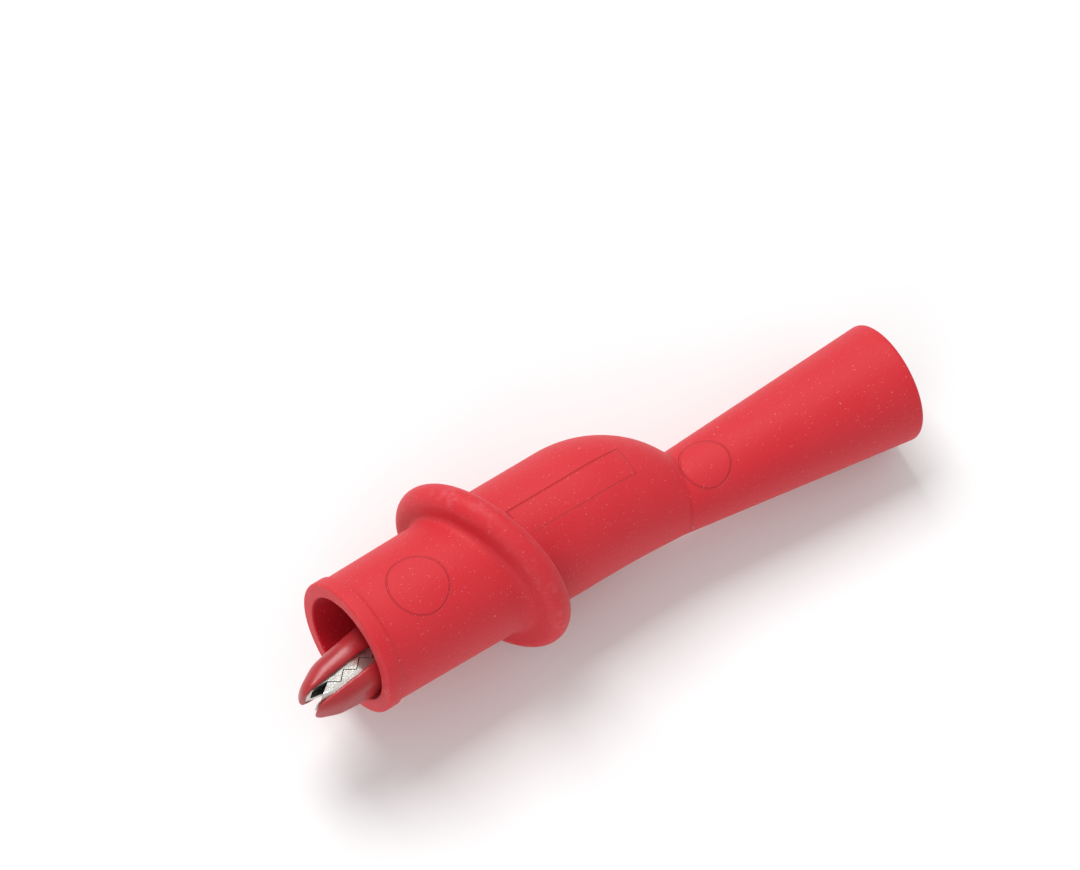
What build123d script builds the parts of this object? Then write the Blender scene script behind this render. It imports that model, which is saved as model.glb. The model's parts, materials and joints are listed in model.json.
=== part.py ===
from build123d import *
from math import asin, atan2, cos, degrees, hypot, pi, radians, sin, sqrt
import os

# A slip-on alligator clip for a test probe, in millimetres.
# It is drawn in a straight clip frame: X runs back from the mouth of the shroud along its
# axis, Y points to the thumb hump, and Z points out of the side. At the end every piece is
# laid down as the clip lies on a table, on its flange and the end of its cone.

# Insulating boot: front shroud
shroud_front_r = 8.25
shroud_rear_r = 8.45
shroud_wall = 1.6
mouth_bead_proud = 0.27
mouth_bead_length = 1.9
mouth_bead_round = 0.25

# Insulating boot: finger flange
flange_x = 20.05
flange_y = 0.2
flange_r = 12.35
flange_thickness = 3.6
flange_tilt = 16.5
flange_front_fillet = 1.6
flange_rear_fillet = 1.0

# Insulating boot: body and thumb hump
body_r = 8.45
body_wall = 1.5
hump_start_x = 33.0
hump_lead = 3.0
hump_length = 15.1
hump_drop = 14.0
belly_drop = 0.65
belly_share = 0.8
bulkhead = 2.2

# Insulating boot: neck and cone
neck_x = 47.4
neck_y = -4.33
neck_r = 4.88
neck_stub_s = -3.6
cone_end_r = 7.65
cone_length = 29.05
cone_droop = 2.96
cone_wall = 1.5
cone_end_round = 0.6
cone_hollow_r = 3.6

# Moulded marks on the side of the boot
mark_depth = 0.25
mark_line = 0.3
front_mark_x = 8.7
front_mark_r = 3.71
neck_mark_s = 1.3
neck_mark_r = 3.05
neck_mark_front_s = -1.0
panel_x = 31.25
panel_y = 0.15
panel_length = 16.5
panel_height = 3.8

# Jaws, from their pivot: u runs back along the line where they meet, v points to the hump
pivot_x = 18.0
pivot_y = -1.4
jaw_rise = 4.6
sheet = 0.6
jaw_half_width = 2.8
nose_half_width = 1.7
nose_taper = 6.5
jaw_edge_round = 1.2
jaw_reach = 25.7
jaw_gap = 0.14
ear_r = 3.0
ear_clearance = 0.08
tooth_pitch = 2.36
tooth_depth = 0.96
tooth_count = 6
first_tooth_u = -23.2
nose_gap_u = -25.1
upper_nose_gap_v = 0.8
lower_nose_gap_v = -0.6
nose_length = 2.9
nose_round = 1.4
back_round = 4.0
upper_nose_v = 1.3
upper_front_v = 2.6
upper_pivot_v = 4.3
lower_nose_v = 0.9
lower_front_v = 2.0
lower_pivot_v = 4.1
tail_start_u = -1.0
tail_edge_round = 0.9
tail_clearance = 0.05
lever_reach = 20.0
lever_end_v = 4.9
lever_flange = 1.9
joggle_u = -6.0

# Vinyl sleeves on the jaws
sleeve_wall = 0.62
sleeve_clearance = 0.05
sleeve_length = 17.0
upper_sleeve_edge_v = 0.85
lower_sleeve_edge_v = 1.15

# Pivot rivet, spacer and torsion spring
rivet_r = 1.0
rivet_head_r = 1.8
rivet_head_height = 0.7
rivet_clearance = 0.05
spacer_r = 1.35
wire_r = 0.35
coil_clearance = 0.15
spring_leg = 10.0
spring_leg_gap = 0.1

# Tail barrel, probe socket, contact spring and screw, from the neck along the cone's axis
barrel_r = 2.7
barrel_front_s = -8.0
barrel_lap = 1.5
barrel_back_s = 6.0
tail_wall_t = 0.2
tail_floor_extra = 0.06
socket_r = 2.1
socket_front_s = -7.5
socket_back_s = 12.0
socket_mouth_chamfer = 0.4
probe_bore_r = 1.05
probe_bore_front_s = -6.5
contact_r = 1.55
contact_sheet = 0.2
contact_length = 5.5
contact_front_s = 1.5
contact_slots = 4
contact_slot_width = 0.5
screw_s = -5.0
screw_r = 0.8
screw_tip_t = 1.15
screw_head_r = 1.4
screw_head_height = 1.1
screw_slot_width = 0.5
screw_slot_depth = 0.5

shroud_bore_r = shroud_front_r - shroud_wall
moving_half_width = jaw_half_width + ear_clearance + sheet
coil_r = spacer_r + coil_clearance + wire_r
sleeve_grow = sleeve_clearance + sleeve_wall
tail_floor_r = barrel_r + tail_floor_extra
far = 60.0


def jaw_point(u, v):
    """Point of the jaw frame, in the clip frame."""
    a = radians(jaw_rise)
    return (pivot_x + u * cos(a) - v * sin(a), pivot_y + u * sin(a) + v * cos(a))


def tail_point(s, t):
    """Point of the cone's axis frame, in the clip frame."""
    a = radians(cone_droop)
    return (neck_x + s * cos(a) + t * sin(a), neck_y - s * sin(a) + t * cos(a))


def tail_location(s, t=0.0):
    """Location with its Z axis running back along the cone's axis."""
    x, y = tail_point(s, t)
    a = radians(cone_droop)
    return Plane((x, y, 0), x_dir=(0, 0, 1), z_dir=(cos(a), -sin(a), 0)).location


def rod(radius, front_s, back_s):
    """Solid cylinder on the cone's axis."""
    base = Cylinder(radius, back_s - front_s, align=(Align.CENTER, Align.CENTER, Align.MIN))
    return tail_location(front_s) * base


def side_plate(points, half_width):
    """Outline in the clip's XY plane, extruded to both sides."""
    outline = make_face(Polyline(*points, close=True))
    return extrude(outline, half_width, both=True)


def cross_pin(radius, half_length):
    """Cylinder on the pivot's axis."""
    return Pos(pivot_x, pivot_y, 0) * Cylinder(radius, 2 * half_length)


# ---------------------------------------------------------------- insulating boot
def shroud_outside():
    """Front tube with the bead round its mouth, turned about X."""
    bead_r = shroud_front_r + mouth_bead_proud
    back = mouth_bead_length + mouth_bead_proud
    points = [(0, 0), (0, bead_r), (mouth_bead_length, bead_r), (back, shroud_front_r)]
    points += [(flange_x, shroud_rear_r), (flange_x, 0)]
    tube = revolve(make_face(Polyline(*points, close=True)), Axis.X)
    rims = [e for e in tube.edges().filter_by(GeomType.CIRCLE) if abs(e.radius - bead_r) < 1e-6]
    return fillet(rims, mouth_bead_round)


def flange_disc():
    """Finger flange: a disc with a fully rounded rim, leaning forward at the hump."""
    half = flange_thickness / 2
    web = Rectangle(flange_thickness, flange_r - half, align=(Align.CENTER, Align.MIN))
    profile = web + Pos(0, flange_r - half) * Circle(half)
    profile = profile & Rectangle(flange_r, flange_r, align=(Align.CENTER, Align.MIN))
    return Pos(flange_x, flange_y, 0) * Rot(0, 0, flange_tilt) * revolve(profile, Axis.X)


def hump_top(x):
    """Height of the hump's back, a quarter of an ellipse."""
    share = max(0.0, (x - hump_start_x) / hump_length)
    return body_r - hump_drop * (1 - sqrt(1 - share * share))


def belly(x):
    """Height of the underside, which eases down to the neck."""
    share = max(0.0, (x - hump_start_x) / (belly_share * (neck_x - hump_start_x)))
    return -body_r - belly_drop * share * share


def hump_ring(top_x, wall):
    """Section of the body through a place on its back, slanted forward at the belly."""
    belly_x = min(top_x, hump_start_x + belly_share * (top_x - hump_start_x))
    top = Vector(top_x, hump_top(top_x) - wall)
    bottom = Vector(belly_x, belly(belly_x) + wall)
    rise = top - bottom
    plane = Plane((top + bottom) / 2, x_dir=rise, z_dir=(rise.Y, -rise.X, 0))
    return plane * Ellipse(rise.length / 2, rise.Y / 2)


def hump_loft(wall, end_x):
    """Sections from the straight body to the neck, inset by the wall."""
    steps = 7
    places = [hump_start_x - hump_lead, hump_start_x]
    places += [hump_start_x + (end_x - hump_start_x) * i / steps for i in range(1, steps + 1)]
    return loft([hump_ring(x, wall) for x in places])


def taper(front_r, back_r, front_s, back_s):
    """Solid cone on the cone's axis."""
    base = Cone(front_r, back_r, back_s - front_s, align=(Align.CENTER, Align.CENTER, Align.MIN))
    return tail_location(front_s) * base


def cone_outside():
    """Cone that flares from the neck to its open end, with a rounded end edge."""
    cone = taper(neck_r, cone_end_r, 0, cone_length)
    circles = cone.edges().filter_by(GeomType.CIRCLE)
    return fillet(circles.sort_by(SortBy.LENGTH)[-1], cone_end_round)


def boot_outside():
    """Outer shape of the whole moulding."""
    straight = hump_start_x - hump_lead - flange_x
    body = Pos(flange_x + straight / 2, 0, 0) * Rot(0, 90, 0) * Cylinder(body_r, straight)
    stub = rod(neck_r, neck_stub_s, 0.5)
    outside = shroud_outside() + body + flange_disc()
    rings = outside.edges().filter_by(GeomType.ELLIPSE).sort_by(Axis.X)
    outside = fillet(rings[0], flange_front_fillet)
    rings = outside.edges().filter_by(GeomType.ELLIPSE).sort_by(Axis.X)
    outside = fillet(rings[-1], flange_rear_fillet)
    return outside + hump_loft(0.0, neck_x) + stub + cone_outside()


def boot_hollow():
    """Space inside: shroud bore, jaw cavity, neck bore and probe cone."""
    bore_length = hump_start_x - hump_lead + 1.0
    bore = Pos(bore_length / 2 - 1.0, 0, 0) * Rot(0, 90, 0) * Cylinder(shroud_bore_r, bore_length)
    cavity = hump_loft(body_wall, neck_x - bulkhead)
    slope = (cone_end_r - neck_r) / cone_length
    hollow_end_r = cone_end_r - cone_wall
    probe_room = taper(cone_hollow_r, hollow_end_r + slope, socket_back_s, cone_length + 1.0)
    neck = rod(barrel_r, barrel_front_s, barrel_back_s) + rod(socket_r, 0, socket_back_s + 0.5)
    corner_r = hypot(tail_floor_r - tail_edge_round, jaw_half_width - tail_edge_round) + tail_edge_round
    tail_room = rod(corner_r + tail_clearance, pivot_x - neck_x, -bulkhead)
    return bore + cavity + neck + probe_room + tail_room


def ring_column(x, y, radius):
    """Thin-walled tube standing on the side of the boot."""
    outer = Cylinder(radius + mark_line / 2, far, align=(Align.CENTER, Align.CENTER, Align.MIN))
    inner = Cylinder(radius - mark_line / 2, far, align=(Align.CENTER, Align.CENTER, Align.MIN))
    return Pos(x, y, 0) * (outer - inner)


def boot_marks():
    """Two circle outlines and the outline of the blank panel on the side."""
    tube_skin_r = shroud_front_r + (shroud_rear_r - shroud_front_r) * front_mark_x / flange_x
    tube_skin = Cylinder(shroud_bore_r + shroud_wall * 3, 2.5 * front_mark_r)
    tube_skin = tube_skin - Cylinder(tube_skin_r - mark_depth, 2.5 * front_mark_r)
    tube_skin = Pos(front_mark_x, 0, 0) * Rot(0, 90, 0) * tube_skin
    front = ring_column(front_mark_x, 0, front_mark_r) & tube_skin
    body_skin = Cylinder(body_r + 1, 1.2 * panel_length) - Cylinder(body_r - mark_depth, 1.2 * panel_length)
    body_skin = Pos(panel_x, 0, 0) * Rot(0, 90, 0) * body_skin
    line = 2 * mark_line
    frame = Box(panel_length, panel_height, far) - Box(panel_length - line, panel_height - line, 2 * far)
    panel = (Pos(panel_x, panel_y, far / 2) * frame) & body_skin
    slope = (cone_end_r - neck_r) / cone_length
    far_s = neck_mark_s + 4
    front_r = neck_r + slope * neck_mark_front_s
    back_r = neck_r + slope * far_s
    neck_skin = taper(front_r + 1, back_r + 1, neck_mark_front_s, far_s)
    neck_skin = neck_skin - taper(front_r - mark_depth, back_r - mark_depth, neck_mark_front_s, far_s)
    neck_mid = tail_point(neck_mark_s, 0)
    neck = ring_column(*neck_mid, neck_mark_r) & neck_skin
    return front, panel, neck


def insulating_boot():
    """Elastomer moulding: shroud, flange, hump, neck and cone in one piece."""
    boot = boot_outside() - boot_hollow()
    for groove in boot_marks():
        boot = boot - groove
    return boot


# ---------------------------------------------------------------- jaws
def on_back(edge, corners, rounds, grow):
    """True for an edge that runs along a jaw's nose or back, not across or on its open side."""
    middle = edge.center()
    if abs(edge.tangent_at(0.5).Z) > 0.9:
        return False
    for start, end in zip(corners[:len(rounds) + 1], corners[1:len(rounds) + 2]):
        line = Edge.make_line((*start, 0), (*end, 0))
        if line.distance_to(Vector(middle.X, middle.Y, 0)) < abs(grow) + jaw_edge_round / 2:
            return True
    return False


def blank(corners, rounds, half_width, grow):
    """Block with the outline of a jaw's back, its long edges rounded, grown evenly by grow."""
    face = make_face(Polyline(*corners, close=True))
    for place, radius in zip(corners[1:], rounds):
        face = fillet(face.vertices().sort_by_distance(Vector(*place, 0))[0], radius)
    if grow != 0:
        face = offset(face, grow, kind=Kind.INTERSECTION)
    solid = extrude(face, far, both=True) & plan_block(half_width, grow)
    edges = [e for e in solid.edges() if on_back(e, corners, rounds, grow)]
    return fillet(edges, jaw_edge_round + grow)


def plan_block(half_width, grow):
    """Block with the outline of a jaw seen from above, narrowing to its nose."""
    front = -jaw_reach
    side = [(front, nose_half_width), (front + nose_taper, jaw_half_width)]
    if half_width > jaw_half_width:
        side = [(front, half_width)]
    side.append((far, half_width))
    points = side + [(u, -z) for u, z in reversed(side)]
    face = offset(make_face(Polyline(*points, close=True)), grow, kind=Kind.INTERSECTION)
    a = radians(jaw_rise)
    plane = Plane((pivot_x, pivot_y, 0), x_dir=(cos(a), sin(a), 0), z_dir=(-sin(a), cos(a), 0))
    return extrude(plane * face, far, both=True)


def meeting_line(shift, nose_gap_v):
    """Edge of a jaw: open at the nose, then the zigzag where the teeth mesh, moved up by shift."""
    points = [(-jaw_reach - 3, nose_gap_v), (nose_gap_u, nose_gap_v)]
    for tooth in range(tooth_count):
        u = first_tooth_u + tooth * tooth_pitch
        points += [(u, tooth_depth / 2), (u + tooth_pitch / 2, -tooth_depth / 2)]
    return [jaw_point(u, v + shift) for u, v in points]


def upper_front_corners(end_u):
    """Outline of the moving jaw ahead of its ears, open below."""
    nose = [(-jaw_reach, -4.0), (-jaw_reach, upper_nose_v), (nose_length - jaw_reach, upper_front_v)]
    slope = (upper_pivot_v - upper_front_v) / (jaw_reach - nose_length)
    back = [(end_u, upper_pivot_v + slope * end_u), (end_u, -4.0)]
    return [jaw_point(u, v) for u, v in nose + back]


def upper_back_corners(start_u):
    """Outline of the moving jaw's ears and thumb lever, open below."""
    slope = (upper_pivot_v - upper_front_v) / (jaw_reach - nose_length)
    front = [(start_u, -4.0), (start_u, upper_pivot_v + slope * start_u), (0.0, upper_pivot_v)]
    back = [(lever_reach, lever_end_v), (lever_reach, -4.0)]
    return [jaw_point(u, v) for u, v in front + back]


def lower_front_corners(end_u):
    """Outline of the fixed jaw ahead of its pivot, open above."""
    nose = [(-jaw_reach, 4.0), (-jaw_reach, -lower_nose_v), (nose_length - jaw_reach, -lower_front_v)]
    slope = (lower_pivot_v - lower_front_v) / (jaw_reach - nose_length)
    back = [(end_u, -lower_pivot_v - slope * end_u), (end_u, 4.0)]
    return [jaw_point(u, v) for u, v in nose + back]


def tail_channel():
    """Open channel from the pivot back to the barrel."""
    slope = (lower_pivot_v - lower_front_v) / (jaw_reach - nose_length)
    end_s = barrel_front_s + barrel_lap
    floor = [jaw_point(tail_start_u, -lower_pivot_v - slope * tail_start_u)]
    floor.append(tail_point(pivot_x - neck_x, -tail_floor_r))
    floor.append(tail_point(end_s, -tail_floor_r))
    rim = [tail_point(end_s, tail_wall_t), tail_point(pivot_x + 2 * ear_r - neck_x, tail_wall_t)]
    rim += [jaw_point(ear_r, -0.3), jaw_point(tail_start_u, -0.3)]
    tail = side_plate(floor + rim, jaw_half_width)
    below = [e for e in tail.edges().filter_by(Axis.Z, reverse=True) if e.center().Y < -5.0]
    tail = fillet([e for e in below if e.length > 1.0 and abs(e.tangent_at(0.5).X) > 0.9], tail_edge_round)
    hollow = [jaw_point(tail_start_u - 1, sheet - lower_pivot_v - slope * (tail_start_u - 1))]
    hollow.append(tail_point(pivot_x - neck_x, sheet - tail_floor_r))
    hollow.append(tail_point(end_s + 1, sheet - tail_floor_r))
    hollow += [tail_point(end_s + 1, 9.0), jaw_point(tail_start_u - 1, 9.0)]
    tail = tail - side_plate(hollow, jaw_half_width - sheet)
    return tail - rod(socket_r, barrel_front_s, barrel_back_s)


def ear_disc():
    """Round ear on the pivot, through the full width."""
    return cross_pin(ear_r, 2 * moving_half_width)


def moving_jaw():
    """Upper jaw: toothed channel, ears outside the fixed ones and the thumb lever."""
    ends_u = -ear_r - 1.2
    rounds = [nose_round, back_round]
    front = blank(upper_front_corners(0.0), rounds, jaw_half_width, 0.0)
    front = front - blank(upper_front_corners(2.0), rounds, jaw_half_width, -sheet)
    room = meeting_line(jaw_gap / 2, upper_nose_gap_v)
    room += [jaw_point(u, v) for u, v in [(ends_u, 0.5), (ends_u, 9.0), (-jaw_reach - 3, 9.0)]]
    front = front & side_plate(room, far)
    rounds = [jaw_edge_round, back_round]
    lever = blank(upper_back_corners(joggle_u), rounds, moving_half_width, 0.0)
    lever = lever - blank(upper_back_corners(joggle_u - 2), rounds, moving_half_width, -sheet)
    lower_edge_v = lever_end_v - lever_flange
    room = [(joggle_u, 0.7), (0.0, 0.7), (ear_r, 1.6), (lever_reach + 1, lower_edge_v)]
    room = [jaw_point(u, v) for u, v in room + [(lever_reach + 1, 9.0), (joggle_u, 9.0)]]
    lever = lever & (side_plate(room, far) + ear_disc())
    step = [(joggle_u, 0.7), (ends_u - sheet, 0.7), (ends_u - sheet, 3.2), (joggle_u, 3.2)]
    step = [jaw_point(u, v) for u, v in step]
    joggle = side_plate(step, moving_half_width - sheet / 2)
    joggle = joggle - side_plate(step, jaw_half_width - sheet / 2)
    jaw = front + lever + joggle
    return jaw - cross_pin(rivet_r + rivet_clearance, far)


def fixed_jaw():
    """Lower jaw: toothed channel, ears, open tail and the barrel rolled round the socket."""
    rounds = [nose_round, back_round]
    jaw = blank(lower_front_corners(tail_start_u + 0.5), rounds, jaw_half_width, 0.0)
    jaw = jaw - blank(lower_front_corners(2.0), rounds, jaw_half_width, -sheet)
    room = meeting_line(-jaw_gap / 2, lower_nose_gap_v)
    room += [jaw_point(-ear_r, -0.3), jaw_point(tail_start_u, -0.3)]
    room += [jaw_point(tail_start_u, -9.0), jaw_point(-jaw_reach - 3, -9.0)]
    jaw = (jaw & side_plate(room, far)) + tail_channel()
    ears = cross_pin(ear_r, jaw_half_width) - cross_pin(ear_r + 1, jaw_half_width - sheet)
    barrel = rod(barrel_r, barrel_front_s, barrel_back_s)
    barrel = barrel - rod(socket_r, barrel_front_s - 1, barrel_back_s + 1)
    jaw = jaw + ears + barrel
    return jaw - cross_pin(rivet_r, far) - screw_shape(screw_r, 0.0)


# ---------------------------------------------------------------- sleeves
def moving_jaw_sleeve():
    """Vinyl cover on the moving jaw, open along the teeth."""
    rounds = [nose_round, back_round]
    cover = blank(upper_front_corners(0.0), rounds, jaw_half_width, sleeve_grow)
    cover = cover - blank(upper_front_corners(2.0), rounds, jaw_half_width, sleeve_clearance)
    end_u = sleeve_length - jaw_reach
    room = [(-jaw_reach - 3, upper_sleeve_edge_v), (end_u, upper_sleeve_edge_v)]
    room += [(end_u, 9.0), (-jaw_reach - 3, 9.0)]
    return cover & side_plate([jaw_point(u, v) for u, v in room], far)


def fixed_jaw_sleeve():
    """Vinyl cover on the fixed jaw, open along the teeth."""
    rounds = [nose_round, back_round]
    cover = blank(lower_front_corners(tail_start_u + 0.5), rounds, jaw_half_width, sleeve_grow)
    cover = cover - blank(lower_front_corners(2.0), rounds, jaw_half_width, sleeve_clearance)
    end_u = sleeve_length - jaw_reach
    room = [(-jaw_reach - 3, -lower_sleeve_edge_v), (end_u, -lower_sleeve_edge_v)]
    room += [(end_u, -9.0), (-jaw_reach - 3, -9.0)]
    return cover & side_plate([jaw_point(u, v) for u, v in room], far)


# ---------------------------------------------------------------- pivot
def pivot_rivet():
    """Rivet through all four ears, headed at one end and upset at the other."""
    head_z = moving_half_width + rivet_clearance
    shank = cross_pin(rivet_r, head_z + 0.1)
    head = Cylinder(rivet_head_r, rivet_head_height, align=(Align.CENTER, Align.CENTER, Align.MIN))
    head = fillet(head.edges().filter_by(GeomType.CIRCLE).sort_by(Axis.Z)[-1], rivet_head_height / 2)
    upset = Rot(180, 0, 0) * Pos(0, 0, head_z) * head
    return shank + Pos(pivot_x, pivot_y, 0) * (Pos(0, 0, head_z) * head + upset)


def pivot_spacer():
    """Tube on the rivet that keeps the fixed ears apart and carries the spring."""
    half = jaw_half_width - sheet
    return cross_pin(spacer_r, half) - cross_pin(rivet_r, far)


def tangent_angle(x, y, side):
    """Direction of the point where a line from x, y touches the coil's circle."""
    return atan2(y, x) + side * (pi / 2 - asin(coil_r / hypot(x, y)))


def spring_wire(start, end):
    """Straight round wire with ball ends."""
    line = Edge.make_line(start, end)
    wire = extrude(Plane(origin=start, z_dir=line.tangent_at(0)) * Circle(wire_r), line.length)
    return wire + Pos(*end) * Sphere(wire_r)


def torsion_spring():
    """Coil on the spacer, one leg under the lever and one on the tail's floor."""
    lever_v = upper_pivot_v + (lever_end_v - upper_pivot_v) * spring_leg / lever_reach
    upper_x, upper_y = jaw_point(spring_leg, lever_v - sheet - wire_r - spring_leg_gap)
    floor_t = -tail_floor_r + sheet + wire_r + spring_leg_gap
    lower_x, lower_y = tail_point(pivot_x + spring_leg - neck_x, floor_t)
    low = tangent_angle(lower_x - pivot_x, lower_y - pivot_y, -1)
    high = tangent_angle(upper_x - pivot_x, upper_y - pivot_y, 1)
    half = jaw_half_width - sheet - wire_r - spring_leg_gap
    part_turn = (low - (high - 2 * pi)) / (2 * pi)
    turns = int(half / wire_r - part_turn) + part_turn
    helix = Helix(2 * half / turns, 2 * half, coil_r, lefthand=True)
    section = Plane(origin=helix @ 0, z_dir=helix % 0) * Circle(wire_r)
    coil = Pos(pivot_x, pivot_y, -half) * Rot(0, 0, degrees(low)) * sweep(section, helix, is_frenet=True)
    ends = []
    for angle, x, y, z in ((low, lower_x, lower_y, -half), (high, upper_x, upper_y, half)):
        start = (pivot_x + coil_r * cos(angle), pivot_y + coil_r * sin(angle), z)
        ends.append(spring_wire(start, (x, y, z)) + Pos(*start) * Sphere(wire_r * 1.03))
    return coil + ends[0] + ends[1]


# ---------------------------------------------------------------- probe socket
def screw_shape(radius, head):
    """Screw body across the cone's axis, with a head of the given height if there is one."""
    x, y = tail_point(screw_s, 0)
    across = Pos(x, y, 0) * Rot(0, 0, -cone_droop) * Rot(-90, 0, 0)
    shank = Cylinder(radius, barrel_r - screw_tip_t, align=(Align.CENTER, Align.CENTER, Align.MIN))
    shape = Pos(0, 0, screw_tip_t) * shank
    if head > 0:
        top = Cylinder(screw_head_r, head, align=(Align.CENTER, Align.CENTER, Align.MIN))
        shape = shape + Pos(0, 0, barrel_r) * top
        slot = Box(screw_slot_width, 4 * screw_head_r, 2 * screw_slot_depth)
        shape = shape - Pos(0, 0, barrel_r + head) * slot
    return across * shape


def socket_screw():
    """Slotted screw that clamps the socket in the barrel."""
    return screw_shape(screw_r, screw_head_height)


def probe_socket():
    """Round tube that takes the probe's tip, with a recess for the contact spring."""
    tube = rod(socket_r, socket_front_s, socket_back_s)
    mouth = taper(probe_bore_r, probe_bore_r + socket_mouth_chamfer,
                  socket_back_s - socket_mouth_chamfer, socket_back_s)
    recess = rod(contact_r, contact_front_s, contact_front_s + contact_length)
    tube = tube - rod(probe_bore_r, probe_bore_front_s, socket_back_s + 1) - mouth - recess
    return tube - screw_shape(screw_r, 0.0)


def contact_spring():
    """Thin slotted sleeve that grips the probe's tip."""
    end_s = contact_front_s + contact_length
    sleeve = rod(contact_r, contact_front_s, end_s)
    sleeve = sleeve - rod(contact_r - contact_sheet, contact_front_s - 1, end_s + 1)
    slot = Box(4 * contact_r, contact_slot_width, contact_length - 4 * contact_sheet)
    middle = tail_location(contact_front_s + contact_length / 2)
    for turn in range(contact_slots // 2):
        sleeve = sleeve - middle * Rot(0, 0, turn * 360 / contact_slots) * slot
    return sleeve


# ---------------------------------------------------------------- the clip as it lies
def lie_down():
    """Turn that sets the flange's rim and the cone's end edge on the table."""
    rim_round = flange_thickness / 2
    rim_z = rim_round - flange_r
    end_x = tail_point(cone_length - cone_end_round, 0)[0]
    end_z = cone_end_round - cone_end_r
    run = hypot(end_x - flange_x, end_z - rim_z)
    lean = atan2(end_z - rim_z, end_x - flange_x) - asin((cone_end_round - rim_round) / run)
    return Rot(0, degrees(lean), 0)


def clip_pieces():
    """Every piece of the clip, by name, in the straight clip frame."""
    return {
        "insulating_boot": insulating_boot(),
        "fixed_jaw": fixed_jaw(),
        "moving_jaw": moving_jaw(),
        "fixed_jaw_sleeve": fixed_jaw_sleeve(),
        "moving_jaw_sleeve": moving_jaw_sleeve(),
        "pivot_rivet": pivot_rivet(),
        "pivot_spacer": pivot_spacer(),
        "torsion_spring": torsion_spring(),
        "probe_socket": probe_socket(),
        "contact_spring": contact_spring(),
        "socket_screw": socket_screw(),
    }


def placement(pieces):
    """Turn and shift that put the middle of the footprint at the origin."""
    turn = lie_down()
    boxes = [(turn * piece).bounding_box() for piece in pieces.values()]
    low_x = min(box.min.X for box in boxes)
    high_x = max(box.max.X for box in boxes)
    low_y = min(box.min.Y for box in boxes)
    high_y = max(box.max.Y for box in boxes)
    low_z = min(box.min.Z for box in boxes)
    return Pos(-(low_x + high_x) / 2, -(low_y + high_y) / 2, -low_z) * turn


def main():
    """Write one STEP file for each piece."""
    os.makedirs("parts", exist_ok=True)
    pieces = clip_pieces()
    place = placement(pieces)
    for name, piece in pieces.items():
        export_step(place * piece, f"parts/{name}.step")


if __name__ == "__main__":
    main()
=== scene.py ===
# %% [markdown]
# # A slip-on alligator clip
# The clip slips over the tip of a hand-held test probe. A soft red boot holds two sprung
# steel jaws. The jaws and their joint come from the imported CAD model, which is the fixed
# frame. This file builds the looks around it: the moulded boot, the vinyl sleeves, the
# plated metal, the floor, the light and the camera.

import json
import math

import bmesh
import bpy
from mathutils import Euler, Matrix, Vector


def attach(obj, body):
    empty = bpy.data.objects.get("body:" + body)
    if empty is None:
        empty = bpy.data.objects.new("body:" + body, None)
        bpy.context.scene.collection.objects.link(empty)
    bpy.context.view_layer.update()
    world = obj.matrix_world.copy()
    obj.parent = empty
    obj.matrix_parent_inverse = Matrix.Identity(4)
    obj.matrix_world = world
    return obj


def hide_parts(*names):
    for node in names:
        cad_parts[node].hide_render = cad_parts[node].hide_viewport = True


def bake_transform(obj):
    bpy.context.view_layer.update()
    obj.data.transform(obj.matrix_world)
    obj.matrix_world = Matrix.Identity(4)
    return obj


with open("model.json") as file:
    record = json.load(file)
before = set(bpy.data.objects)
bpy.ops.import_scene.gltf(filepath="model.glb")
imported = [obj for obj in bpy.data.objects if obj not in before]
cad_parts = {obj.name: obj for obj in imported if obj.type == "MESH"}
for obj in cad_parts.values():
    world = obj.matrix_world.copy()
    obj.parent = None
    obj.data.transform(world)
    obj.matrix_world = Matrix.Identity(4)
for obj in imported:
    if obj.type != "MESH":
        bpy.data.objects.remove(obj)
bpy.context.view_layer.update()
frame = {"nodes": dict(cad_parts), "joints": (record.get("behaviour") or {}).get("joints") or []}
print("nodes", sorted(frame["nodes"]))

# %% [markdown]
# ## The clip's own frame
# The boot is easiest to draw straight, in millimetres: X runs back from the mouth of the
# shroud, Y points to the thumb hump and Z points out of the side. The real clip lies on
# its flange and the end of its cone, so it leans a little. The joint in the CAD model
# gives both the pivot's place and the direction of the side, and one matrix then lays
# everything down.

# %% One matrix from straight millimetres to the clip as it lies
PIVOT = Vector((18.0, -1.4, 0.0))
hinge = frame["joints"][0]
side_way = -Vector(hinge["axis"]).normalized()
lean = math.atan2(side_way.x, side_way.z)
turn = Matrix.Rotation(lean, 4, "Y")
lay_down = Matrix.Translation(Vector(hinge["pos_m"])) @ turn
lay_down = lay_down @ Matrix.Scale(0.001, 4) @ Matrix.Translation(-PIVOT)
print("lean", round(math.degrees(lean), 2), "degrees")

# %% [markdown]
# ## Sections of the boot
# The boot is a soft moulding that is round nearly everywhere, so it is drawn as a chain of
# round sections that are bridged into a skin. A section is stored as a matrix that places
# a unit circle: its first column is the radius towards the hump and its second column is
# the radius towards the side. Two matrices can be mixed, and that is how the edges are
# rounded: three sections make a curve between them.

# %% Sections across the tube, across the cone and on the tilted flange
CONE_DROOP = math.radians(2.96)
NECK = Vector((47.4, -4.33, 0.0))
FLANGE_TILT = math.radians(16.5)
FLANGE_MIDDLE = Vector((20.05, 0.2, 0.0))


def placed(first, second, third, middle):
    """Four by four matrix from three columns and a middle."""
    rows = [[first[i], second[i], third[i], middle[i]] for i in range(3)]
    return Matrix(rows + [[0.0, 0.0, 0.0, 1.0]])


def tube(x, radius, y=0.0):
    """Round section square to the tube's axis."""
    return placed(Vector((0, radius, 0)), Vector((0, 0, radius)), Vector((1, 0, 0)), Vector((x, y, 0)))


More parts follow.
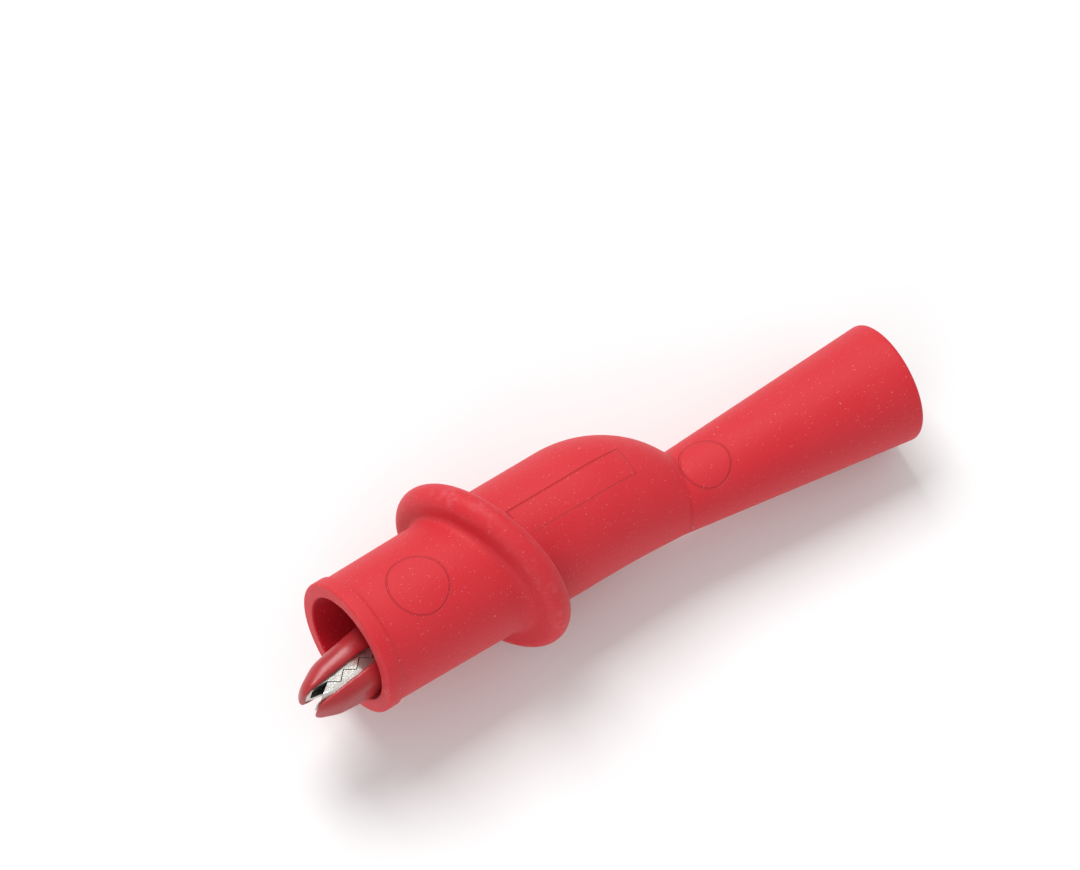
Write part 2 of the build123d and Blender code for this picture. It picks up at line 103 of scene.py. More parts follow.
def cone(s, radius):
    """Round section square to the cone's axis, s behind the neck."""
    along = Vector((math.cos(CONE_DROOP), -math.sin(CONE_DROOP), 0))
    up = Vector((math.sin(CONE_DROOP), math.cos(CONE_DROOP), 0))
    return placed(up * radius, Vector((0, 0, radius)), along, NECK + along * s)


def flange(height, radius):
    """Round section of the tilted flange, height behind its middle plane."""
    along = Vector((math.cos(FLANGE_TILT), math.sin(FLANGE_TILT), 0))
    up = Vector((-math.sin(FLANGE_TILT), math.cos(FLANGE_TILT), 0))
    return placed(up * radius, Vector((0, 0, radius)), along, FLANGE_MIDDLE + along * height)


def foot(height, radius):
    """Slanted section where the tube meets a plane of the flange."""
    run = (height + FLANGE_MIDDLE.y * math.sin(FLANGE_TILT)) / math.cos(FLANGE_TILT)
    slant = Vector((-radius * math.tan(FLANGE_TILT), radius, 0))
    middle = Vector((FLANGE_MIDDLE.x + run, 0, 0))
    return placed(slant, Vector((0, 0, radius)), Vector((1, 0, 0)), middle)


# %% Rounding between sections
def mixed(a, b, share):
    """Section between two others."""
    return a * (1 - share) + b * share


def spread(a, b):
    """Mean distance between two sections, in millimetres."""
    ends = [Vector((math.cos(t), math.sin(t), 0)) for t in (0.0, 1.5708, 3.1416, 4.7124)]
    return sum(((a @ e) - (b @ e)).length for e in ends) / len(ends)


def rounded(corners):
    """Chain of sections through corners, each with the radius of its rounding."""
    chain = [corners[0][0]]
    for (before, _, _), (corner, size, steps), (after, _, _) in zip(corners, corners[1:], corners[2:]):
        if size == 0:
            chain.append(corner)
            continue
        start = mixed(corner, before, min(0.49, size / spread(corner, before)))
        end = mixed(corner, after, min(0.49, size / spread(corner, after)))
        for i in range(steps + 1):
            t = i / steps
            chain.append(start * (1 - t) ** 2 + corner * 2 * t * (1 - t) + end * t * t)
    chain.append(corners[-1][0])
    return chain


print("a section between two others has radius", mixed(tube(0, 8), tube(1, 9), 0.5)[1][0])

# %% [markdown]
# ## Outside of the boot
# From the mouth backwards: a beaded rim, the front tube, the finger flange, the body with
# its thumb hump, and the cone that takes the probe. The hump falls along a quarter of an
# ellipse and stops in a crease at the neck.

# %% Sizes of the boot
SHROUD_FRONT_R = 8.25
SHROUD_REAR_R = 8.45
BEAD_R = 8.52
BEAD_LENGTH = 1.9
SHROUD_BORE_R = 6.65
FLANGE_R = 12.35
FLANGE_ROUND = 1.8
BODY_R = 8.45
BODY_WALL = 1.5
HUMP_START = 33.0
HUMP_LENGTH = 15.1
HUMP_DROP = 14.0
BELLY_DROP = 0.65
BELLY_SHARE = 0.8
CREASE_X = 46.5
NECK_R = 4.88
CONE_END_R = 7.65
CONE_LENGTH = 29.05


# %% Outside chain
def hump_top(x):
    """Height of the hump's back."""
    share = max(0.0, (x - HUMP_START) / HUMP_LENGTH)
    return BODY_R - HUMP_DROP * (1 - math.sqrt(1 - share * share))


def belly(x):
    """Height of the underside, which eases down to the neck."""
    share = max(0.0, (x - HUMP_START) / (BELLY_SHARE * (NECK.x - HUMP_START)))
    return -BODY_R - BELLY_DROP * share * share


def body(top_x, wall):
    """Section of the body through a place on its back, slanted forward at the belly."""
    belly_x = min(top_x, HUMP_START + BELLY_SHARE * (top_x - HUMP_START))
    top = Vector((top_x, hump_top(top_x) - wall, 0))
    bottom = Vector((belly_x, belly(belly_x) + wall, 0))
    to_hump = (top - bottom) / 2
    return placed(to_hump, Vector((0, 0, to_hump.y)), Vector((1, 0, 0)), (top + bottom) / 2)


def hump_places(end_x, steps):
    """Places along the hump, closer together where it falls."""
    last = math.asin((end_x - HUMP_START) / HUMP_LENGTH)
    return [HUMP_START + HUMP_LENGTH * math.sin(last * i / steps) for i in range(1, steps + 1)]


def rim(steps):
    """Fully rounded rim of the flange."""
    turns = [math.pi * (i / steps - 0.5) for i in range(steps + 1)]
    middle = FLANGE_R - FLANGE_ROUND
    return [flange(FLANGE_ROUND * math.sin(t), middle + FLANGE_ROUND * math.cos(t)) for t in turns]


def evenly(a, b, steps):
    """Sections spaced evenly after a, up to b."""
    return [mixed(a, b, i / steps) for i in range(1, steps + 1)]


front_foot = foot(-FLANGE_ROUND, SHROUD_REAR_R)
rear_foot = foot(FLANGE_ROUND, BODY_R)
rim_sections = rim(20)
mouth = rounded([
    (tube(0, SHROUD_BORE_R + 0.6), 0, 0),
    (tube(0, BEAD_R), 0.42, 6),
    (tube(BEAD_LENGTH, BEAD_R), 0.16, 4),
    (tube(BEAD_LENGTH + 0.22, SHROUD_FRONT_R), 0.14, 3),
    (tube(BEAD_LENGTH + 1.2, SHROUD_FRONT_R + 0.01), 0, 0),
])
to_flange = rounded([
    (tube(BEAD_LENGTH + 1.2, SHROUD_FRONT_R + 0.01), 0, 0),
    (front_foot, 1.5, 10),
    (rim_sections[0], 0, 0),
])
tube_run = evenly(mouth[-1], to_flange[1], 24)[:-1]
off_flange = rounded([
    (rim_sections[-1], 0, 0),
    (rear_foot, 1.0, 8),
    (tube(HUMP_START, BODY_R), 0, 0),
])
body_run = evenly(off_flange[-2], tube(HUMP_START, BODY_R), 12)
hump_run = [body(x, 0) for x in hump_places(CREASE_X, 40)][:-1]
crease_top, crease_bottom = -0.85, -3.4
crease = cone((crease_top + crease_bottom) / 2, NECK_R)
along_cone = Vector((math.cos(CONE_DROOP), -math.sin(CONE_DROOP), 0))
for row in range(3):
    crease[row][0] += along_cone[row] * (crease_top - crease_bottom) / 2
cone_end = rounded([
    (hump_run[-1], 0, 0),
    (crease, 0.22, 3),
    (cone(CONE_LENGTH, CONE_END_R), 0.6, 6),
    (cone(CONE_LENGTH, CONE_END_R - 0.9), 0, 0),
])
cone_run = evenly(cone_end[4], cone_end[5], 30)[:-1]
outside = mouth[:-1] + tube_run + to_flange[1:-1] + rim_sections + off_flange[1:-1] + body_run
outside += hump_run + cone_end[1:5] + cone_run + cone_end[5:]
print("outside sections", len(outside))

# %% [markdown]
# ## Inside of the boot
# The moulding is hollow from end to end. The cone's hollow narrows to a bore that grips
# the jaw's barrel, then the cavity follows the hump so that the lever has room, and the
# front bore opens at the mouth.

# %% Inside chain
BULKHEAD_X = 45.2
BARREL_R = 2.7
SOCKET_R = 2.1
FIT = 0.01
CONE_WALL = 1.5
HOLLOW_END_S = 12.0
HOLLOW_END_R = 3.6
BARREL_BACK_S = 6.0
BARREL_FRONT_S = -4.2
CAVITY_START_X = 30.0
END_BEFORE_BULKHEAD = 1.2
inside = rounded([
    (cone(CONE_LENGTH, CONE_END_R - 0.9), 0, 0),
    (cone(CONE_LENGTH, CONE_END_R - CONE_WALL), 0.35, 4),
    (cone(HOLLOW_END_S, HOLLOW_END_R), 0.3, 3),
    (cone(HOLLOW_END_S, SOCKET_R + FIT), 0.2, 3),
    (cone(BARREL_BACK_S, SOCKET_R + FIT), 0.1, 2),
    (cone(BARREL_BACK_S, BARREL_R + FIT), 0.1, 2),
    (cone(BARREL_FRONT_S, BARREL_R + FIT), 0.1, 2),
    (body(BULKHEAD_X, BODY_WALL), 0.5, 4),
    (body(BULKHEAD_X - END_BEFORE_BULKHEAD, BODY_WALL), 0, 0),
])
inside = inside[1:]
back_places = hump_places(BULKHEAD_X - END_BEFORE_BULKHEAD, 16)[:-1]
inside += [body(x, BODY_WALL) for x in reversed(back_places)]
inside += rounded([
    (tube(HUMP_START, BODY_R - BODY_WALL), 0, 0),
    (tube(CAVITY_START_X + 0.2, BODY_R - BODY_WALL), 0.2, 2),
    (tube(CAVITY_START_X - 0.2, SHROUD_BORE_R), 0.2, 2),
    (tube(0, SHROUD_BORE_R), 0.3, 5),
    (tube(0, SHROUD_BORE_R + 0.6), 0, 0),
])[:-1]
print("inside sections", len(inside))


# %% Bridge the sections into one closed skin
ROUND_STEPS = 128


def skin(sections, closed):
    """Circles on the sections, bridged in order, and back to the first if closed."""
    bm = bmesh.new()
    loops = []
    for place in sections:
        made = bmesh.ops.create_circle(bm, segments=ROUND_STEPS, radius=1.0, matrix=place)
        loops.append(list({e for v in made["verts"] for e in v.link_edges}))
    pairs = list(zip(loops, loops[1:])) + ([(loops[-1], loops[0])] if closed else [])
    for a, b in pairs:
        bmesh.ops.bridge_loops(bm, edges=a + b)
    bmesh.ops.recalc_face_normals(bm, faces=bm.faces)
    return bm


def shade(bm, angle):
    """Smooth faces, with a hard edge wherever the skin turns by more than the angle."""
    for face in bm.faces:
        face.smooth = True
    for edge in bm.edges:
        edge.smooth = not (edge.is_manifold and edge.calc_face_angle(0.0) > math.radians(angle))


def piece(name, bm, ride_on, slot, *stands_for):
    """Mesh object at the origin that rides on a body and stands for CAD nodes."""
    mesh = bpy.data.meshes.new(name)
    bm.to_mesh(mesh)
    bm.free()
    made = bpy.data.objects.new(name, mesh)
    bpy.context.scene.collection.objects.link(made)
    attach(made, ride_on)
    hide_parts(*stands_for)
    print(name, len(mesh.vertices), "corners", len(mesh.polygons), "faces")
    return made


boot_bm = skin(outside + inside, closed=True)
bmesh.ops.transform(boot_bm, matrix=lay_down, verts=boot_bm.verts)
shade(boot_bm, 40)
print("boot volume in cubic millimetres", round(boot_bm.calc_volume() * 1e9))
boot = piece("moulded_boot", boot_bm, "clip_body", "boot_elastomer", "insulating_boot")

# %% [markdown]
# ## Metal and vinyl pieces
# The jaws, the rivet and the socket already have their true shape in the CAD model. A
# stamped or dipped piece has no knife edges, so each one is a merged copy of its CAD node
# with a small bevel on every hard edge.


# %% Softened copies
def softened(node, width, segments, angle=35):
    """Merged copy of a CAD node's mesh with its hard edges bevelled, width in millimetres."""
    bm = bmesh.new()
    bm.from_mesh(frame["nodes"][node].data)
    bmesh.ops.remove_doubles(bm, verts=bm.verts, dist=2e-6)
    bmesh.ops.dissolve_limit(bm, angle_limit=math.radians(1.0), verts=bm.verts, edges=bm.edges)
    hard = [e for e in bm.edges if e.is_manifold and e.calc_face_angle(0.0) > math.radians(angle)]
    bmesh.ops.bevel(
        bm, geom=hard, offset=width * 0.001, offset_type="OFFSET", affect="EDGES",
        segments=segments, profile=0.5, material=-1, clamp_overlap=True)
    shade(bm, 50)
    return bm


def finish_normals(made):
    """Keep the broad faces flat beside their bevels."""
    weighted = made.modifiers.new("broad faces lead", "WEIGHTED_NORMAL")
    weighted.keep_sharp = True


METAL_PIECES = [
    ("fixed_jaw_steel", "fixed_jaw", "clip_body", "nickel_plated_steel", 0.08),
    ("moving_jaw_steel", "moving_jaw", "upper_jaw", "nickel_plated_steel", 0.08),
    ("pivot_rivet_steel", "pivot_rivet", "clip_body", "rivet_steel", 0.05),
    ("pivot_spacer_tube", "pivot_spacer", "clip_body", "rivet_steel", 0.05),
    ("probe_socket_brass", "probe_socket", "clip_body", "plated_brass", 0.08),
    ("contact_spring_sleeve", "contact_spring", "clip_body", "contact_copper", 0.03),
    ("socket_screw_steel", "socket_screw", "clip_body", "screw_steel", 0.06),
]
metal = {}
for name, node, ride_on, slot, width in METAL_PIECES:
    metal[node] = piece(name, softened(node, width, 2), ride_on, slot, node)
    finish_normals(metal[node])

VINYL_VOXEL = 0.00011
VINYL_SWELL = 0.00012
SLEEVES = [("fixed_jaw_vinyl", "fixed_jaw_sleeve", "clip_body"),
           ("moving_jaw_vinyl", "moving_jaw_sleeve", "upper_jaw")]
sleeves = {}
for name, node, ride_on in SLEEVES:
    sleeves[node] = piece(name, softened(node, 0.28, 4), ride_on, "jaw_vinyl", node)
    even = sleeves[node].modifiers.new("even skin", "REMESH")
    even.mode = "VOXEL"
    even.voxel_size = VINYL_VOXEL
    even.use_smooth_shade = True
    melt = sleeves[node].modifiers.new("melted edges", "SMOOTH")
    melt.factor = 0.5
    melt.iterations = 60
    plump = sleeves[node].modifiers.new("plump dip", "DISPLACE")
    plump.mid_level = 0.0
    plump.strength = VINYL_SWELL

# %% [markdown]
# ## Torsion spring
# In the real clip the coil turns with the jaws: one leg presses on the lever and the other on
# the tail. Here it is a merged copy of the CAD spring that stays where it is placed.

# %% Spring wire
spring_bm = bmesh.new()
spring_bm.from_mesh(frame["nodes"]["torsion_spring"].data)
bmesh.ops.remove_doubles(spring_bm, verts=spring_bm.verts, dist=2e-6)
shade(spring_bm, 50)
spring_mesh = bpy.data.meshes.new("torsion_spring_wire")
spring_bm.to_mesh(spring_mesh)
spring_bm.free()
spring = bpy.data.objects.new("torsion_spring_wire", spring_mesh)
bpy.context.scene.collection.objects.link(spring)
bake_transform(spring)
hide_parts("torsion_spring")

# %% [markdown]
# ## Shared effects
# Grain and dust specks are node groups with named sockets, and the grain is used by several materials.
# The groups only put out masks and heights. Every shader stays in its own material.


# %% Helpers for nodes
def new_group(name, inputs, outputs):
    """Empty node group with float sockets."""
    group = bpy.data.node_groups.new(name, "ShaderNodeTree")
    for label, kind, value in inputs:
        socket = group.interface.new_socket(label, in_out="INPUT", socket_type=kind)
        if value is not None:
            socket.default_value = value
    for label in outputs:
        group.interface.new_socket(label, in_out="OUTPUT", socket_type="NodeSocketFloat")
    return group, group.nodes.new("NodeGroupInput"), group.nodes.new("NodeGroupOutput")


def math_node(tree, operation, *values, clamp=False):
    """Math node whose inputs are numbers or sockets."""
    node = tree.nodes.new("ShaderNodeMath")
    node.operation = operation
    node.use_clamp = clamp
    for socket, value in zip(node.inputs, values):
        if isinstance(value, (int, float)):
            socket.default_value = value
        else:
            tree.links.new(value, socket)
    return node.outputs[0]


def times(tree, a, b):
    """Product of two values."""
    return math_node(tree, "MULTIPLY", a, b)


def one_less(tree, value):
    """One minus a value."""
    return math_node(tree, "SUBTRACT", 1.0, value)


def reach(tree, a, b):
    """Length of the two-part vector a, b."""
    squares = [math_node(tree, "POWER", side, 2.0) for side in (a, b)]
    return math_node(tree, "SQRT", math_node(tree, "ADD", *squares))


def ramp(tree, value, low, high):
    """Value mapped smoothly from low..high to 0..1."""
    node = tree.nodes.new("ShaderNodeMapRange")
    node.interpolation_type = "SMOOTHSTEP"
    tree.links.new(value, node.inputs["Value"])
    node.inputs["From Min"].default_value = low
    node.inputs["From Max"].default_value = high
    return node.outputs["Result"]


def noise(tree, where, scale, detail, roughness=0.5):
    """Noise value at a place, with its scale in waves per metre."""
    node = tree.nodes.new("ShaderNodeTexNoise")
    tree.links.new(where, node.inputs["Vector"])
    node.inputs["Scale"].default_value = scale
    node.inputs["Detail"].default_value = detail
    node.inputs["Roughness"].default_value = roughness
    return node.outputs["Fac"]


# %% Fine grain of a moulded or plated surface
grain, grain_in, grain_out = new_group(
    "moulded grain",
    [("Where", "NodeSocketVector", None), ("Grain size", "NodeSocketFloat", 5000.0),
     ("Patch size", "NodeSocketFloat", 150.0)],
    ["Height", "Patches"])
fine = grain.nodes.new("ShaderNodeTexNoise")
fine.inputs["Detail"].default_value = 3.0
fine.inputs["Roughness"].default_value = 0.6
grain.links.new(grain_in.outputs["Where"], fine.inputs["Vector"])
grain.links.new(grain_in.outputs["Grain size"], fine.inputs["Scale"])
broad = grain.nodes.new("ShaderNodeTexNoise")
broad.inputs["Detail"].default_value = 4.0
grain.links.new(grain_in.outputs["Where"], broad.inputs["Vector"])
grain.links.new(grain_in.outputs["Patch size"], broad.inputs["Scale"])
grain.links.new(fine.outputs["Fac"], grain_out.inputs["Height"])
grain.links.new(ramp(grain, broad.outputs["Fac"], 0.35, 0.68), grain_out.inputs["Patches"])
print("grain group has", len(grain.nodes), "nodes")

# %% Specks of dust, one in some of the cells of a Voronoi pattern
specks, specks_in, specks_out = new_group(
    "dust specks",
    [("Where", "NodeSocketVector", None), ("Cells", "NodeSocketFloat", 900.0),
     ("Share", "NodeSocketFloat", 0.12), ("Radius", "NodeSocketFloat", 0.16)],
    ["Mask"])
cells = specks.nodes.new("ShaderNodeTexVoronoi")
specks.links.new(specks_in.outputs["Where"], cells.inputs["Vector"])
specks.links.new(specks_in.outputs["Cells"], cells.inputs["Scale"])
draw = specks.nodes.new("ShaderNodeSeparateColor")
specks.links.new(cells.outputs["Color"], draw.inputs["Color"])
chosen = math_node(specks, "LESS_THAN", draw.outputs["Red"], specks_in.outputs["Share"])
size = times(specks, draw.outputs["Green"], specks_in.outputs["Radius"])
near = math_node(specks, "LESS_THAN", cells.outputs["Distance"], size)
specks.links.new(times(specks, chosen, near), specks_out.inputs["Mask"])
print("speck group has", len(specks.nodes), "nodes")


# %% [markdown]
# ## Red elastomer
# The boot is a matte moulded elastomer. A very fine spark-eroded grain scatters the light,
# lint and dust catch on it, and its rims are rubbed paler. Three fine lines are moulded in
# its side: a ring on the front tube, a ring on the neck and a blank panel on the body.
# They are drawn as height from the clip's own millimetres, which a Mapping node gives, and
# darkened with painted shade. Painted shade also darkens the crease at the neck and the inside
# of the front bore.

# %% Helpers for materials
def new_material(name, colour, roughness, metallic=0.0):
    """Material with a Principled shader and object coordinates."""
    material = bpy.data.materials.new(name)
    material.use_nodes = True
    tree = material.node_tree
    shader = tree.nodes["Principled BSDF"]
    shader.inputs["Base Color"].default_value = (*colour, 1.0)
    shader.inputs["Roughness"].default_value = roughness
    shader.inputs["Metallic"].default_value = metallic
    where = tree.nodes.new("ShaderNodeTexCoord").outputs["Object"]
    return material, tree, shader, where


def placed_group(tree, group, where, **values):
    """Group node in a material with its own values."""
    node = tree.nodes.new("ShaderNodeGroup")
    node.node_tree = group
    tree.links.new(where, node.inputs["Where"])
    for label, value in values.items():
        node.inputs[label.replace("_", " ")].default_value = value
    return node


def colour_mix(tree, factor, a, b, blend="MIX"):
    """Mix of two colours, each a socket or a list."""
    node = tree.nodes.new("ShaderNodeMix")
    node.data_type = "RGBA"
    node.blend_type = blend
    for socket, value in ((node.inputs[0], factor), (node.inputs[6], a), (node.inputs[7], b)):
        if isinstance(value, (int, float)):
            socket.default_value = value
        elif isinstance(value, tuple):
            socket.default_value = (*value, 1.0)
        else:
            tree.links.new(value, socket)
    return node.outputs[2]


def bump(tree, shader, height, depth):
    """Bump on the shader, with heights in units of depth millimetres."""
    node = tree.nodes.new("ShaderNodeBump")
    node.inputs["Strength"].default_value = 1.0
    node.inputs["Distance"].default_value = depth * 0.001
    tree.links.new(height, node.inputs["Height"])
    tree.links.new(node.outputs["Normal"], shader.inputs["Normal"])
    return node


# %% Lines moulded in the side
RINGS = [(8.7, 0.0, 3.71), (48.6, -4.32, 3.05)]
PANEL = (31.25, 0.15, 16.5, 3.8)
LINE = 0.075
FLANGE_REACH_X = 27.0


def straight_millimetres(tree, where):
    """The clip's own X, Y and Z from object coordinates."""
    node = tree.nodes.new("ShaderNodeMapping")
    node.vector_type = "POINT"
    back = lay_down.inverted()
    node.inputs["Scale"].default_value = (1000, 1000, 1000)
    node.inputs["Rotation"].default_value = Euler((0, -lean, 0))
    node.inputs["Location"].default_value = back.translation
    tree.links.new(where, node.inputs["Vector"])
    parts = tree.nodes.new("ShaderNodeSeparateXYZ")
    tree.links.new(node.outputs["Vector"], parts.inputs["Vector"])
    return parts.outputs["X"], parts.outputs["Y"], parts.outputs["Z"]


def off(tree, value, middle):
    """Distance of a coordinate from a middle."""
    return math_node(tree, "ABSOLUTE", math_node(tree, "SUBTRACT", value, middle))


def side_lines(tree, x, y, z):
    """1 on the moulded lines and 0 elsewhere, and 1 inside the panel."""
    lines = None
    for mid_x, mid_y, radius in RINGS:
        far_out = reach(tree, off(tree, x, mid_x), off(tree, y, mid_y))
        near_line = one_less(tree, ramp(tree, off(tree, far_out, radius), 0.05, 2 * LINE))
        lines = near_line if lines is None else math_node(tree, "MAXIMUM", lines, near_line)
    mid_x, mid_y, length, height = PANEL
    out_x = math_node(tree, "SUBTRACT", off(tree, x, mid_x), length / 2)
    out_y = math_node(tree, "SUBTRACT", off(tree, y, mid_y), height / 2)
    outside_panel = math_node(tree, "MAXIMUM", out_x, out_y)
    frame_line = math_node(tree, "ABSOLUTE", outside_panel)
    near_line = one_less(tree, ramp(tree, frame_line, 0.04, 1.6 * LINE))
    lines = math_node(tree, "MAXIMUM", lines, near_line)
    facing = math_node(tree, "GREATER_THAN", z, 0.5)
    sunk = one_less(tree, ramp(tree, outside_panel, -0.2, 0.05))
    return times(tree, lines, facing), times(tree, sunk, facing)


# %% Boot material
RED = (0.58, 0.010, 0.020)
RED_PALE = (0.62, 0.09, 0.11)
# Darker red painted as shade in the moulded lines and in the crease at the neck.
RED_PAINTED_SHADE = (0.30, 0.004, 0.010)
LINT = (0.80, 0.55, 0.55)
# Darker red painted as shade inside the front bore.
BORE_PAINTED_SHADE = (0.50, 0.002, 0.016)
elastomer, tree, shader, where = new_material("matte red elastomer", RED, 0.62)
shader.inputs["Sheen Weight"].default_value = 0.05
shader.inputs["Sheen Roughness"].default_value = 0.5
x, y, z = straight_millimetres(tree, where)
lines, sunk = side_lines(tree, x, y, z)
grained = placed_group(tree, grain, where, Grain_size=3600.0, Patch_size=120.0)
dust = placed_group(tree, specks, where, Cells=1900.0, Share=0.08, Radius=0.17)
fluff = placed_group(tree, specks, where, Cells=4200.0, Share=0.20, Radius=0.30)
gathered = ramp(tree, noise(tree, where, 260.0, 3.0), 0.42, 0.66)
settled = times(tree, dust.outputs["Mask"], math_node(tree, "ADD", 0.15, times(tree, gathered, 0.55)))
rub = ramp(tree, noise(tree, where, 420.0, 6.0, 0.7), 0.50, 0.72)
from_axis = reach(tree, y, z)
before_hump = math_node(tree, "LESS_THAN", x, FLANGE_REACH_X)
on_rim = times(tree, ramp(tree, from_axis, 9.6, FLANGE_R + 0.05), before_hump)
on_lip = one_less(tree, ramp(tree, x, 0.02, 0.35))
# Inside of the front bore, which gets painted shade and less shine.
in_bore = times(tree, math_node(tree, "LESS_THAN", from_axis, SHROUD_BORE_R + 0.15),
                math_node(tree, "LESS_THAN", x, HUMP_START))
# Mask for the painted shade along the crease at the neck.
behind_crease = math_node(tree, "SUBTRACT", x, NECK.x + (crease_top + crease_bottom) / 2)
slant = times(tree, math_node(tree, "SUBTRACT", y, NECK.y),
              (crease_top - crease_bottom) / (2 * NECK_R))
from_crease = off(tree, math_node(tree, "SUBTRACT", behind_crease, slant), 0.0)
crease_painted_shade = one_less(tree, ramp(tree, from_crease, 0.05, 0.30))
worn = times(tree, rub, math_node(tree, "MAXIMUM", on_rim, on_lip))
pale = math_node(tree, "ADD", times(tree, grained.outputs["Patches"], 0.07),
                 times(tree, worn, 0.5), clamp=True)
colour = colour_mix(tree, pale, RED, RED_PALE)
# Painted shade darkens the moulded grooves of the lines.
colour = colour_mix(tree, times(tree, lines, 0.32), colour, RED_PAINTED_SHADE)
# Painted shade darkens the crease at the neck.
colour = colour_mix(tree, times(tree, crease_painted_shade, 0.30), colour, RED_PAINTED_SHADE)
# Painted shade darkens the inside of the front bore.
colour = colour_mix(tree, times(tree, in_bore, 0.55), colour, BORE_PAINTED_SHADE)
colour = colour_mix(tree, settled, colour, LINT)
colour = colour_mix(tree, times(tree, fluff.outputs["Mask"], 0.22), colour, LINT)
tree.links.new(colour, shader.inputs["Base Color"])
rough = math_node(tree, "ADD", 0.56, times(tree, grained.outputs["Patches"], 0.08))
tree.links.new(rough, shader.inputs["Roughness"])
shine = math_node(tree, "SUBTRACT", 0.42, times(tree, in_bore, 0.24))
tree.links.new(shine, shader.inputs["Specular IOR Level"])
height = times(tree, grained.outputs["Height"], 0.05)
height = math_node(tree, "SUBTRACT", height, times(tree, lines, 0.09))
height = math_node(tree, "SUBTRACT", height, times(tree, sunk, 0.10))
bump(tree, shader, height, 1.0)
boot.data.materials.append(elastomer)
print("boot material has", len(tree.nodes), "nodes")

# %% [markdown]
# ## Vinyl sleeves
# The sleeves are dipped in soft vinyl. It is a darker, browner red than the boot and has a
# wet-looking sheen.

# %% Sleeve material
VINYL = (0.37, 0.014, 0.020)
vinyl, tree, shader, where = new_material("dark red vinyl", VINYL, 0.34)
shader.inputs["Specular IOR Level"].default_value = 0.5
shader.inputs["Subsurface Weight"].default_value = 0.05
shader.inputs["Subsurface Radius"].default_value = (0.0012, 0.0003, 0.0003)
grained = placed_group(tree, grain, where, Grain_size=1400.0, Patch_size=300.0)
patchy = times(tree, grained.outputs["Patches"], 0.35)
tree.links.new(colour_mix(tree, patchy, VINYL, (0.43, 0.024, 0.028)), shader.inputs["Base Color"])
rough = math_node(tree, "ADD", 0.30, times(tree, grained.outputs["Patches"], 0.10))
tree.links.new(rough, shader.inputs["Roughness"])
bump(tree, shader, grained.outputs["Height"], 0.02)
for sleeve in sleeves.values():
    sleeve.data.materials.append(vinyl)

# %% [markdown]
# ## Metals
# The jaws are stamped steel with bright nickel plating. The rivet, the spring and the screw
# are plainer steel, the socket is plated brass and the contact spring is copper alloy.


# %% Metal materials
def metal_material(name, colour, roughness, tint, scratch, share=0.5):
    """Metal with fine scratches, smudged roughness and a slight change of tint."""
    material, tree, shader, where = new_material(name, colour, roughness, metallic=1.0)
    grained = placed_group(tree, grain, where, Grain_size=2600.0, Patch_size=500.0)
    stain = times(tree, grained.outputs["Patches"], share)
    tree.links.new(colour_mix(tree, stain, colour, tint), shader.inputs["Base Color"])
    smudge = times(tree, grained.outputs["Patches"], 0.12)
    tree.links.new(math_node(tree, "ADD", roughness, smudge), shader.inputs["Roughness"])
    bump(tree, shader, grained.outputs["Height"], scratch)
    return material


nickel = metal_material("bright nickel plate", (0.74, 0.72, 0.68), 0.16, (0.26, 0.24, 0.21), 0.014, 0.8)
rivet_steel = metal_material("rivet steel", (0.60, 0.58, 0.55), 0.28, (0.48, 0.46, 0.44), 0.01)
spring_steel = metal_material("spring wire steel", (0.40, 0.39, 0.39), 0.30, (0.28, 0.27, 0.27), 0.008)
brass = metal_material("plated brass", (0.74, 0.66, 0.44), 0.24, (0.62, 0.52, 0.33), 0.008)
copper = metal_material("contact copper alloy", (0.80, 0.50, 0.32), 0.26, (0.66, 0.38, 0.24), 0.008)
screw_steel = metal_material("zinc plated screw steel", (0.55, 0.56, 0.58), 0.26, (0.42, 0.43, 0.45), 0.01)
nickel.node_tree.nodes["Principled BSDF"].inputs["Metallic"].default_value = 0.88
FINISHES = {"fixed_jaw": nickel, "moving_jaw": nickel, "pivot_rivet": rivet_steel,
            "pivot_spacer": rivet_steel, "probe_socket": brass, "contact_spring": copper,
            "socket_screw": screw_steel}
for node, finish in FINISHES.items():
    metal[node].data.materials.append(finish)
spring.data.materials.append(spring_steel)
NODE_FINISHES = dict(FINISHES, insulating_boot=elastomer, fixed_jaw_sleeve=vinyl,
                     moving_jaw_sleeve=vinyl, torsion_spring=spring_steel)
for node, finish in NODE_FINISHES.items():
    frame["nodes"][node].data.materials.clear()
    frame["nodes"][node].data.materials.append(finish)
print("materials", sorted(m.name for m in bpy.data.materials))

# %% [markdown]
# ## Floor, light and camera
# A plain pale floor, one large soft light above the hump's side and a dim even sky stand in
# for a quiet work table. The camera looks down from the mouth's side with a
# long lens.

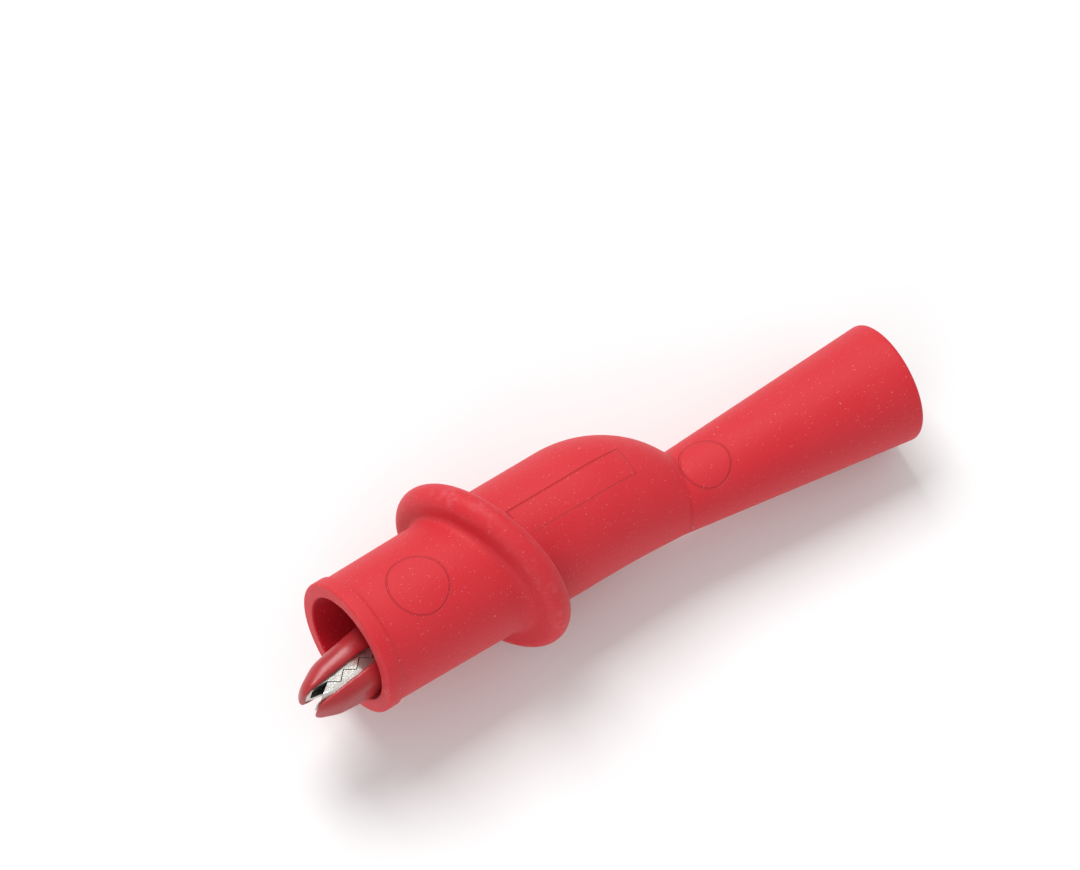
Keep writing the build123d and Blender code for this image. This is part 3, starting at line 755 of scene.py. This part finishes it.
# %% Floor
floor_bm = bmesh.new()
bmesh.ops.create_grid(floor_bm, x_segments=1, y_segments=1, size=3.0)
floor_mesh = bpy.data.meshes.new("floor")
floor_bm.to_mesh(floor_mesh)
floor_bm.free()
floor = bpy.data.objects.new("floor", floor_mesh)
bpy.context.scene.collection.objects.link(floor)
floor_paint, tree, shader, where = new_material("pale floor", (0.86, 0.86, 0.86), 0.9)
shader.inputs["Specular IOR Level"].default_value = 0.1
floor.data.materials.append(floor_paint)

# %% Sky and lamps
world = bpy.data.worlds.new("even sky")
bpy.context.scene.world = world
world.use_nodes = True
world.node_tree.nodes["Background"].inputs["Color"].default_value = (1.0, 1.0, 1.0, 1.0)
world.node_tree.nodes["Background"].inputs["Strength"].default_value = 0.62


def softbox(name, place, aim, width, power):
    """Square area light that points at a place."""
    lamp = bpy.data.lights.new(name, "AREA")
    lamp.size = width
    lamp.energy = power
    made = bpy.data.objects.new(name, lamp)
    bpy.context.scene.collection.objects.link(made)
    made.location = place
    made.rotation_euler = (Vector(aim) - Vector(place)).to_track_quat("-Z", "Y").to_euler()
    return made


softbox("key softbox", (-0.02, 0.60, 0.95), (0, 0, 0.01), 0.55, 9.0)
softbox("front fill", (-0.8, -0.5, 0.5), (0, 0, 0.01), 0.6, 2.0)

# %% Camera
AIM = Vector((0.0012246, 0.0107128, 0.012))
AZIMUTH = math.radians(-51.5223)
ELEVATION = math.radians(66.0816)
ROLL = math.radians(17.0568)
DISTANCE = 0.8974651
back_way = Vector((math.sin(AZIMUTH) * math.cos(ELEVATION),
                   -math.cos(AZIMUTH) * math.cos(ELEVATION), math.sin(ELEVATION)))
level = Vector((math.cos(AZIMUTH), math.sin(AZIMUTH), 0))
upright = back_way.cross(level)
right_way = level * math.cos(ROLL) + upright * math.sin(ROLL)
up_way = back_way.cross(right_way)
lens = bpy.data.cameras.new("long lens")
lens.lens = 253.46
lens.sensor_width = 36.0
lens.clip_start = 0.05
lens.clip_end = 10.0
camera = bpy.data.objects.new("camera", lens)
bpy.context.scene.collection.objects.link(camera)
camera.matrix_world = placed(right_way, up_way, back_way, AIM + back_way * DISTANCE)
bpy.context.scene.camera = camera
bpy.context.scene.view_settings.view_transform = "Standard"
print("camera at", [round(v, 4) for v in camera.location])
